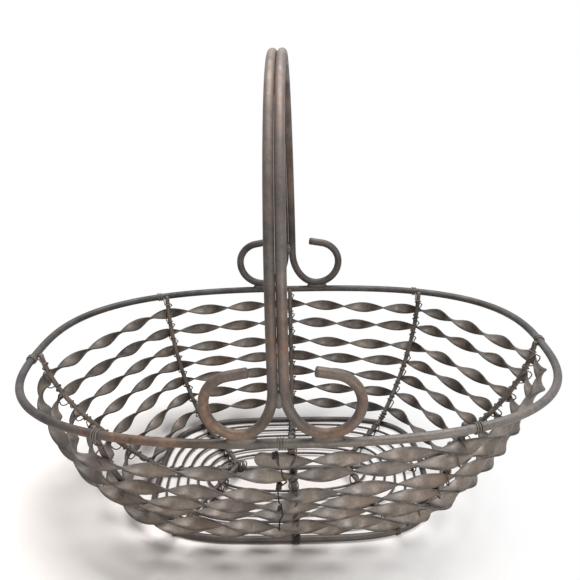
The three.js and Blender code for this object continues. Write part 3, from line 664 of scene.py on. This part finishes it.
def lashing(rib, eye):
    """Ties: a loose turn round the rib, a small eye beside it, then a loop over the strip at each row."""
    rows = [row for row in crossings_of(rib) if row[1] < BINDING_LAST_LEVEL]
    beside = RIB_ROD / 2 + WIRE_GAP + BINDING_WIRE / 2
    foot_aside, top_aside = beside + LOOP_FOOT_ASIDE, beside * LOOP_TOP_ASIDE
    points = []

    def add(level, across, out):
        middle, along, _, outward = wall_place(np.array(rib_angle(rib, level)), np.array(level))
        points.append(middle - along * across * rib.side + outward * out)

    def coil(start, stop, count):
        """Turns round the rib, and half a turn more, from its far side to its near side."""
        steps = COIL_STEPS * count + COIL_STEPS // 2
        pace = np.sort(np.append(rng.uniform(0, 1, steps - 1), [0, 1]))
        pace = lerp(np.linspace(0, 1, steps + 1), pace, COIL_UNEVEN)
        for i, share in enumerate(pace):
            angle = np.pi + (2 * np.pi * count + np.pi) * i / steps
            away = beside * (1 + rng.uniform(0.0, COIL_WANDER))
            add(lerp(start, stop, share), away * math.cos(angle), away * math.sin(angle))

    level = BINDING_FIRST_LEVEL
    for turn, row, rest, *_ in rows:
        twist = float(strip_twist(turn)[0])
        half = (STRIP_WIDTH * abs(math.cos(twist)) + STRIP_THICKNESS * abs(math.sin(twist))) / 2
        half = (half + LOOP_MARGIN) / WALL_DEPTH
        side = beside / np.linalg.norm(rib_point(rib, row)) / (2 * math.pi)
        reach = max(float(strip_reach(turn + d)[0]) for d in (-side, 0, side))
        over = min(rest, LOOP_REST) + min(reach, LOOP_REACH) + LOOP_CLEAR + rng.uniform(0.0, LOOP_SLACK)
        if row - half > level + COIL_ROOM:
            coil(level, max(level + COIL_LEAST, row - half - eye), 1)
        if eye > 0:
            add(row - half - eye * 0.5, beside + EYE_REACH, EYE_OUT)
        add(row - half, foot_aside, over * LOOP_FOOT_OUT)
        add(row - half * LOOP_TOP_LEVEL, top_aside, over)
        add(row + half * LOOP_TOP_LEVEL, -top_aside, over)
        add(row + half, -foot_aside, over * LOOP_FOOT_OUT)
        level = row + half
    if level < BINDING_LAST_LEVEL + LAST_COIL_ROOM:
        coil(level, BINDING_LAST_LEVEL + LAST_COIL_END, LAST_COIL_TURNS)
    return smooth_run(points, WIRE_STEPS)


# Dust and painted light on the wire turns on top of the rim.
def rim_wire_dust_and_light(points):
    return RIM_WIRE_DUST_AND_LIGHT * (points[:, 2] > RIM_Z - RIM_ROD)


for name, rib in RIBS.items():
    wire = np.vstack([rim_turns(rib), lashing(rib, EYE_LEVEL if name.startswith("back") else 0)])
    tube(f"binding_wire_{name}", wire, BINDING_WIRE, WIRE_SIDES, wire_iron, dust_and_light=rim_wire_dust_and_light,
         replaces=[f"binding_wire_{name}"], slot="wire_iron")


# Knots: small untidy coils.
KNOT_STEPS, KNOT_SWELL, KNOT_PITCH = 8, 0.15, 0.8
KNOT_ASIDE = np.array([0.3, 0.2, 1.0])


def knot(middle, radius, turns, axis):
    side = unit(np.cross(axis, KNOT_ASIDE))
    other = np.cross(axis, side)
    run = []
    for i in range(KNOT_STEPS * turns + 1):
        angle, share = 2 * np.pi * i / KNOT_STEPS, i / (KNOT_STEPS * turns) - 0.5
        swell = radius * (1 + rng.uniform(-KNOT_SWELL, KNOT_SWELL))
        ring = side * math.cos(angle) + other * math.sin(angle)
        run.append(middle + axis * share * turns * KNOT_PITCH + swell * ring)
    return run


# Tie of the strip's upper end: a knot at its top edge, then a wire that slants down over the rows.
END_TIE_TURN, END_TIE_STEPS = 0.0165, 4


def tie_point(row, shift, up_share, out):
    """Point beside a row: a shift along it in turns, a share of its half width up and a distance out."""
    turn = row + END_TIE_TURN + shift
    centre, up = strip_centre(np.array([turn]))
    outward = wall_place(strip_angle(turn), strip_level(np.array([turn]))[0])[3]
    return centre[0] + up[0] * up_share * STRIP_WIDTH / 2 + outward * out


def strip_end_tie():
    run = knot(tie_point(0, 0.0, 1.75, 0.6), radius=1.7, turns=4, axis=np.array([1.0, 0.0, 0.2]))
    run += [tie_point(0, 0.002, 0.2, 1.9), tie_point(0, 0.004, -0.9, 1.9)]
    run += [tie_point(1, 0.005, 0.6, 2.4), tie_point(1, 0.0075, -0.4, 2.6)]
    run += knot(tie_point(1, 0.001, -1.9, 1.0), radius=1.3, turns=5, axis=np.array([0.1, 0.0, 1.0]))
    run += [tie_point(2, 0.0, 0.2, 3.6), tie_point(2, 0.002, -0.9, 3.0)]
    run += knot(tie_point(3, 0.0, 0.9, 2.6), radius=1.2, turns=3, axis=np.array([1.0, 0.0, 0.3]))
    run += [tie_point(3, 0.002, -0.6, 4.2), tie_point(4, -0.002, 0.0, 4.2), tie_point(5, -0.004, 0.6, 3.4)]
    run = smooth_run(run, END_TIE_STEPS)
    tube("strip_end_tie", run, BINDING_WIRE, WIRE_SIDES, tie_iron, slot="wire_iron")


strip_end_tie()

# Ties at the feet of the front ribs.
FOOT_TIE_OUT, FOOT_TIE_LOW = 0.55, 0.75
FOOT_TIES = {"front_left": (4, wire_iron), "front": (6, tie_iron), "front_right": (4, wire_iron)}


def foot_tie(rib, turns):
    """Turns round the outer base ring at a rib's foot, pressed flat under it."""
    axis = unit(oval(rib.foot + TINY, *BASE_SHAPE) - oval(rib.foot - TINY, *BASE_SHAPE))
    run = np.array(knot(oval(rib.foot, *BASE_SHAPE), BASE_Z + FOOT_TIE_OUT, turns, axis))
    run[:, 2] = np.maximum(run[:, 2], BINDING_WIRE * FOOT_TIE_LOW)
    return smooth_run(run, WIRE_STEPS)


for name, (tie_turns, material) in FOOT_TIES.items():
    run = foot_tie(RIBS[name], tie_turns)
    tube(f"foot_tie_{name}", run, BINDING_WIRE, WIRE_SIDES, material, slot="wire_iron")


# Lashings along the spokes: slanting turns at each ring.
LASHING_OVER, LASHING_UNDER, LASHING_ASIDE, LASHING_SLANT = 0.6, 0.4, 0.75, 1.9
LASHING_WANDER, LASHING_HUB_ROOM, SPOKE_STEPS = 0.08, 5, 400
LASHING_ANGLES = np.radians(np.arange(-90, 560, 40))


def ring_crossing(start, end, i):
    """Point of a spoke over thin ring i, found along the spoke."""
    run = lerp(start, end, np.linspace(0, 1, SPOKE_STEPS)[:, None])
    ring = oval(np.arctan2(run[:, 1], run[:, 0]), *thin_ring(i), 0.0)
    inside = np.hypot(run[:, 0], run[:, 1]) <= np.linalg.norm(ring[:, :2], axis=1)
    return run[np.argmax(inside)] if inside.any() else None


def spoke_lashing(start, end, hand):
    along = unit((end - start) * LEVEL_PART)
    across = np.cross(UP, along)
    points = []
    for i in range(1, THIN_RINGS + 1):
        spot = ring_crossing(start, end, i)
        if spot is None or np.linalg.norm((end - spot)[:2]) < LASHING_HUB_ROOM:
            continue
        top, low = spot[2] + RIB_ROD / 2 + LASHING_OVER, BASE_Z - THIN_WIRE / 2 - LASHING_UNDER
        high, reach = (top - low) / 2, RIB_ROD / 2 + LASHING_ASIDE
        for angle in LASHING_ANGLES:
            slant = np.sin(angle)
            point = spot + along * slant * LASHING_SLANT + across * hand * slant * reach
            point[2] = (top + low) / 2 + high * np.cos(angle)
            points.append(point + rng.normal(0, LASHING_WANDER, 3))
    return smooth_run(points, WIRE_STEPS)


for first, second, crossing in SPOKES.values():
    for hand, end in ((1, first), (-1, second)):
        run = spoke_lashing(rib_point(RIBS[end], SPOKE_LEVEL), crossing, hand)
        tube(f"spoke_lashing_{end}", run, BINDING_WIRE, LASHING_SIDES, wire_iron, slot="wire_iron")


# Hub lashings where the V wires meet the long wire: turns that slant one way and then the other.
HUB_TURNS, HUB_STEP, HUB_SLANT, HUB_SLANT_SPREAD = 12, 30, 50, 0.1
HUB_REACH, HUB_SWELL, HUB_WAVES, HUB_HEIGHT = 3.8, 1.1, 5.0, 4.4
HUB_START, HUB_LENGTH, HUB_WANDER = -3, 8, 0.15


def hub_lashing(side):
    hub = np.array([side * SPOKE_MEETING, 0, (SPOKE_Z + CROSSING_Z) / 2])
    points = []
    for angle in np.radians(np.arange(0, 360 * HUB_TURNS, HUB_STEP)):
        share = angle / (2 * np.pi * HUB_TURNS)
        lean = HUB_SLANT if (share * HUB_TURNS) % 2 > 1 else -HUB_SLANT
        slant = math.radians(lean) + rng.normal(0, HUB_SLANT_SPREAD)
        reach = HUB_REACH + HUB_SWELL * math.sin(HUB_WAVES * share * np.pi)
        flat = np.array([math.cos(slant), math.sin(slant), 0]) * reach * math.sin(angle)
        shift = np.array([side * (HUB_START + HUB_LENGTH * share), 0, 0])
        points.append(hub + shift + flat + UP * HUB_HEIGHT * math.cos(angle) + rng.normal(0, HUB_WANDER, 3))
    return smooth_run(points, WIRE_STEPS)


SIDES = (("left", -1), ("right", 1))
for name, side in SIDES:
    tube(f"hub_lashing_{name}", hub_lashing(side), BINDING_WIRE, LASHING_SIDES, wire_iron, slot="wire_iron")


# Handle: its two rods all but touch, as in the photograph.
ARC_STEPS, SCROLL_TIP_STEPS, ARCH_STEPS = 24, 6, 120
ROD_GAP, ARCH_LOWERED = 0.05, 0.4
LEG_X = HANDLE_ROD / 2 + CLEARANCE / 2
TOUCHING_ROD = HANDLE_ROD + CLEARANCE - ROD_GAP
SPRING_Z = SCROLL_Z + SCROLL_DROP + LEG_STRAIGHT
ARCH_RISE = RIM_Z + HANDLE_HEIGHT - SPRING_Z - ARCH_LOWERED


def arc(x, z, radius_x, radius_z, start, stop):
    angle = np.radians(np.linspace(start, stop, ARC_STEPS))
    return np.stack([x + radius_x * np.cos(angle), z + radius_z * np.sin(angle)], axis=1)


def scroll_outline(inner_reach):
    """From the leg down to the rim, out, up and back in to the scroll's tip."""
    upper_x = inner_reach + SCROLL_OUTER_RADIUS - SCROLL_UPPER_RADIUS
    inner = arc(inner_reach, SCROLL_DROP, inner_reach, SCROLL_DROP, 180, 270)
    outer = arc(inner_reach, SCROLL_OUTER_RADIUS, SCROLL_OUTER_RADIUS, SCROLL_OUTER_RADIUS, 270, 360)
    upper = arc(upper_x, SCROLL_OUTER_RADIUS, SCROLL_UPPER_RADIUS, SCROLL_UPPER_RADIUS, 0, SCROLL_CURL)
    heading = math.radians(SCROLL_CURL + 90)
    tip = upper[-1] + SCROLL_TIP * np.array([math.cos(heading), math.sin(heading)])
    tip_run = lerp(upper[-1], tip, np.linspace(0, 1, SCROLL_TIP_STEPS)[1:, None])
    return np.vstack([inner, outer[1:], upper[1:], tip_run])


def handle_path(side):
    def scroll(y, lean):
        outline = scroll_outline(SCROLL_INNER_REACH + side * lean)
        x = side * (LEG_X + outline[:, 0]) - lean
        return np.stack([x, np.full(len(outline), y), SCROLL_Z + outline[:, 1]], axis=1)

    angle = np.linspace(0, np.pi, ARCH_STEPS)
    x = side * LEG_X - HANDLE_LEAN * np.cos(angle / 2) ** 2
    arch = np.stack([x, -RIM_WIDTH / 2 * np.cos(angle), SPRING_Z + ARCH_RISE * np.sin(angle)], axis=1)
    return np.vstack([scroll(-RIM_WIDTH / 2, HANDLE_LEAN)[::-1], arch, scroll(RIM_WIDTH / 2, 0)])


handle_rust = spots((-43, -121, SCROLL_Z + 22, 14, 0.8), (-28, -121, SCROLL_Z + 2, 15, 0.6),
                    (27, -121, SCROLL_Z + 1, 13, 0.75), (40, -121, SCROLL_Z + 22, 9, 0.5),
                    (4, -121, SCROLL_Z + 50, 26, 0.55), (0, -50, 285, 55, 0.55), (0, 110, 200, 40, 0.45))
# Dust and painted light, most on the top of the arch.
handle_dust_and_light = spots((0, -20, 298, 75, 0.5), (30, -121, SCROLL_Z + 36, 10, 0.3), (6, -105, 215, 40, 0.18))
# Painted shade at the back scrolls, on the left rod's front half and on small places of the front scrolls.
back_scrolls = (0, 121, SCROLL_Z + 15, 50, 0.85)
rod_shade = {
    "left": spots(back_scrolls, (-3, -110, 195, 60, 0.6), (-12, -121, SCROLL_Z + 40, 9, 0.2)),
    "right": spots(back_scrolls, (18, -121, SCROLL_Z + 36, 14, 0.3)),
}
for name, side in SIDES:
    tube(f"handle_rod_{name}", handle_path(side), TOUCHING_ROD, ROD_SIDES, handle_iron, rust=handle_rust,
         dust_and_light=handle_dust_and_light, painted_shade=rod_shade[name], replaces=[f"handle_rod_{name}"], slot="handle_iron")


# Welds: lumpy beads that sink into the rods.
BEAD_ROWS, BEAD_SIDES = 14, 20
LUMP_HEIGHT, LUMPS_ALONG, LUMPS_ACROSS, LUMP_SHRINK = 0.06, 5, 4, 0.05


def bead(name, middle, half_sizes):
    down = np.linspace(0, np.pi, BEAD_ROWS)[1:-1]
    around = np.linspace(0, 2 * np.pi, BEAD_SIDES, endpoint=False)
    d, a = np.meshgrid(down, around, indexing="ij")
    ball = np.stack([np.sin(d) * np.cos(a), np.sin(d) * np.sin(a), np.cos(d)], axis=-1).reshape(-1, 3)
    ball = np.vstack([ball, [[0, 0, 1], [0, 0, -1]]])
    waves = np.sin(LUMPS_ALONG * ball[:, 0] + middle[0]) * np.cos(LUMPS_ACROSS * ball[:, 1])
    lumps = 1 + LUMP_HEIGHT * waves - LUMP_SHRINK
    points = middle + ball * np.array(half_sizes) * lumps[:, None]
    top, low, last = len(ball) - 2, len(ball) - 1, (BEAD_ROWS - 3) * BEAD_SIDES
    faces = []
    for j in range(BEAD_SIDES):
        k = (j + 1) % BEAD_SIDES
        faces += [(i + j, i + BEAD_SIDES + j, i + BEAD_SIDES + k, i + k) for i in range(0, last, BEAD_SIDES)]
        faces += [(top, j, k), (low, last + k, last + j)]
    mesh_piece(name, points, faces, weld_iron, replaces=[name], slot="weld_iron")


HANDLE_ENDS = (("front", -1, FRONT_WELD_HEIGHT, HANDLE_LEAN), ("back", 1, BACK_WELD_HEIGHT, 0))
for end, sign, height, lean in HANDLE_ENDS:
    y = sign * RIM_WIDTH / 2
    bead(f"handle_weld_{end}", np.array([-lean, y, SCROLL_Z + height]), HANDLE_WELD)
    for name, side in SIDES:
        seat = np.array([side * (LEG_X + SCROLL_INNER_REACH), y, RIM_Z + RIM_ROD / 2 + CLEARANCE / 2])
        bead(f"scroll_weld_{end}_{name}", seat, SCROLL_WELD)


# Floor, light and camera; the floor's and the lamps' places are in metres.
WHITE = rgb(1.0, 1.0, 1.0)
FLOOR_REACH, FLOOR_ROUGH = 6, 0.9
BOUNCE_NEAR, BOUNCE_FAR, BOUNCE_FROM, BOUNCE_TO = rgb(0.12, 0.115, 0.112), rgb(0.92, 0.89, 0.86), 0.10, 0.22
SHADOW_PLACE, SHADOW_FROM, SHADOW_TO = (-0.10, -0.05, 0.0), 0.11, 0.26
# Painted shadow: the paper is darker and warmer in an oval under the basket.
UNDER_LENGTH, UNDER_WIDTH, UNDER_FROM, UNDER_TO = 0.115, 0.090, 0.92, 1.30
PAPER, PAINTED_SHADOW_LEVEL, PAINTED_SHADOW_TINT, PAPER_TINT = 0.95, 0.70, (1, 0.93, 0.90), (1, 0.95, 0.925)
LAMP_AIM, ROOM_COLOUR, ROOM_STRENGTH = (0, 0, 0.05), rgb(1.0, 0.99, 0.98), 0.13


def seen_directly(tree):
    """1 for camera, glossy and transmission rays, which see the white background, and 0 for the rest."""
    path = tree.nodes.new("ShaderNodeLightPath")
    total = path.outputs["Is Camera Ray"]
    for ray in ("Is Glossy Ray", "Is Transmission Ray"):
        larger = tree.nodes.new("ShaderNodeMath")
        larger.operation = "MAXIMUM"
        tree.links.new(total, larger.inputs[0])
        tree.links.new(path.outputs[ray], larger.inputs[1])
        total = larger.outputs[0]
    return total


def floor_paper():
    """Paper that keeps the shadow near the basket, has a painted shadow under it, fades to white and throws
    little light back under it.
    """
    n = Nodes("floor_paper")
    away = n.node("ShaderNodeVectorMath", n.place(), operation="LENGTH").outputs["Value"]
    bounce = n.mix(n.band(away, BOUNCE_FROM, BOUNCE_TO), BOUNCE_NEAR, BOUNCE_FAR)
    n.feed(n.shader.inputs["Base Color"], bounce)
    n.feed(n.shader.inputs["Roughness"], FLOOR_ROUGH)
    # Painted shadow under the basket: an oval where the paper is darker and warmer.
    shares = (1 / UNDER_LENGTH, 1 / UNDER_WIDTH, 1.0)
    squeezed = n.node("ShaderNodeVectorMath", n.place(), shares, operation="MULTIPLY").outputs[0]
    under = n.node("ShaderNodeVectorMath", squeezed, operation="LENGTH").outputs["Value"]
    painted_shadow = rgb(*(PAPER * PAINTED_SHADOW_LEVEL * tint for tint in PAINTED_SHADOW_TINT))
    lit = rgb(*(PAPER * tint for tint in PAPER_TINT))
    paper = n.node("ShaderNodeBsdfDiffuse", Color=n.mix(n.band(under, UNDER_FROM, UNDER_TO), painted_shadow, lit))
    blank = n.node("ShaderNodeEmission", Color=WHITE, Strength=1.0)
    aside = n.node("ShaderNodeVectorMath", n.place(), SHADOW_PLACE, operation="DISTANCE").outputs["Value"]
    faded = n.band(aside, SHADOW_FROM, SHADOW_TO)
    fade = n.node("ShaderNodeMixShader", faded, paper.outputs[0], blank.outputs[0])
    pick = n.node("ShaderNodeMixShader", seen_directly(n.tree), n.shader.outputs[0], fade.outputs[0])
    n.feed(n.tree.nodes["Material Output"].inputs["Surface"], pick.outputs[0])
    return n.material


def floor():
    mesh = bpy.data.meshes.new("floor")
    corners = [(x * FLOOR_REACH, y * FLOOR_REACH, 0) for x, y in ((-1, -1), (1, -1), (1, 1), (-1, 1))]
    mesh.from_pydata(corners, [], [(0, 1, 2, 3)])
    mesh.materials.append(floor_paper())
    obj = bpy.data.objects.new("floor", mesh)
    bpy.context.collection.objects.link(obj)


def placed(right, back, place):
    """Matrix of a lamp or camera that looks away from back."""
    axes = np.stack([right, np.cross(back, right), back], axis=1)
    return Matrix([(*row, t) for row, t in zip(axes, place)] + [(0, 0, 0, 1)])


def area_light(name, place, size, power, colour):
    data = bpy.data.lights.new(name, "AREA")
    data.shape = "RECTANGLE"
    data.size, data.size_y = size
    data.energy = power
    data.color = colour
    obj = bpy.data.objects.new(name, data)
    back = unit(np.array(place, float) - np.array(LAMP_AIM, float))
    obj.matrix_world = placed(unit(np.cross(UP, back)), back, place)
    bpy.context.collection.objects.link(obj)


def studio():
    """A dim room, with white where it is seen directly."""
    world = bpy.data.worlds.new("studio")
    bpy.context.scene.world = world
    world.use_nodes = True
    tree = world.node_tree
    room = tree.nodes["Background"]
    room.inputs["Color"].default_value = ROOM_COLOUR
    room.inputs["Strength"].default_value = ROOM_STRENGTH
    seen = tree.nodes.new("ShaderNodeBackground")
    seen.inputs["Color"].default_value = WHITE
    seen.inputs["Strength"].default_value = 1.0
    pick = tree.nodes.new("ShaderNodeMixShader")
    for socket, value in zip(pick.inputs, (seen_directly(tree), room.outputs[0], seen.outputs[0])):
        tree.links.new(value, socket)
    tree.links.new(pick.outputs[0], tree.nodes["World Output"].inputs["Surface"])


floor()
area_light("overhead", place=(0.12, 0.22, 1.4), size=(1.2, 1.0), power=34, colour=(1.0, 1.0, 1.0))
area_light("front", place=(0.6, -1.65, 0.17), size=(1.6, 0.3), power=23, colour=(1.0, 0.93, 0.85))
studio()

# Camera: angles in radians, distance and target in millimetres, and its focal length in pixels.
CAMERA_AZIMUTH, CAMERA_ELEVATION, CAMERA_ROLL = 0.0226, 0.3489, -0.0277
CAMERA_DISTANCE, CAMERA_FOCAL_PX, PICTURE_PX, SENSOR = 468.2, 690, 580, 36
CAMERA_TARGET = np.array([2.74, 0, RIM_Z + 43.1])


def photograph_camera():
    level = math.cos(CAMERA_ELEVATION)
    back = np.array([math.sin(CAMERA_AZIMUTH) * level, -math.cos(CAMERA_AZIMUTH) * level,
                     math.sin(CAMERA_ELEVATION)])
    right = np.array([math.cos(CAMERA_AZIMUTH), math.sin(CAMERA_AZIMUTH), 0])
    turned = math.cos(CAMERA_ROLL) * right + math.sin(CAMERA_ROLL) * np.cross(back, right)
    data = bpy.data.cameras.new("camera")
    data.sensor_width = SENSOR
    data.lens = CAMERA_FOCAL_PX / PICTURE_PX * SENSOR
    camera = bpy.data.objects.new("camera", data)
    eye = (CAMERA_TARGET + OUTLINE_SHIFT + back * CAMERA_DISTANCE) * MM
    camera.matrix_world = placed(turned, back, eye)
    bpy.context.collection.objects.link(camera)
    return camera


scene = bpy.context.scene
scene.camera = photograph_camera()
scene.view_settings.view_transform = "Standard"
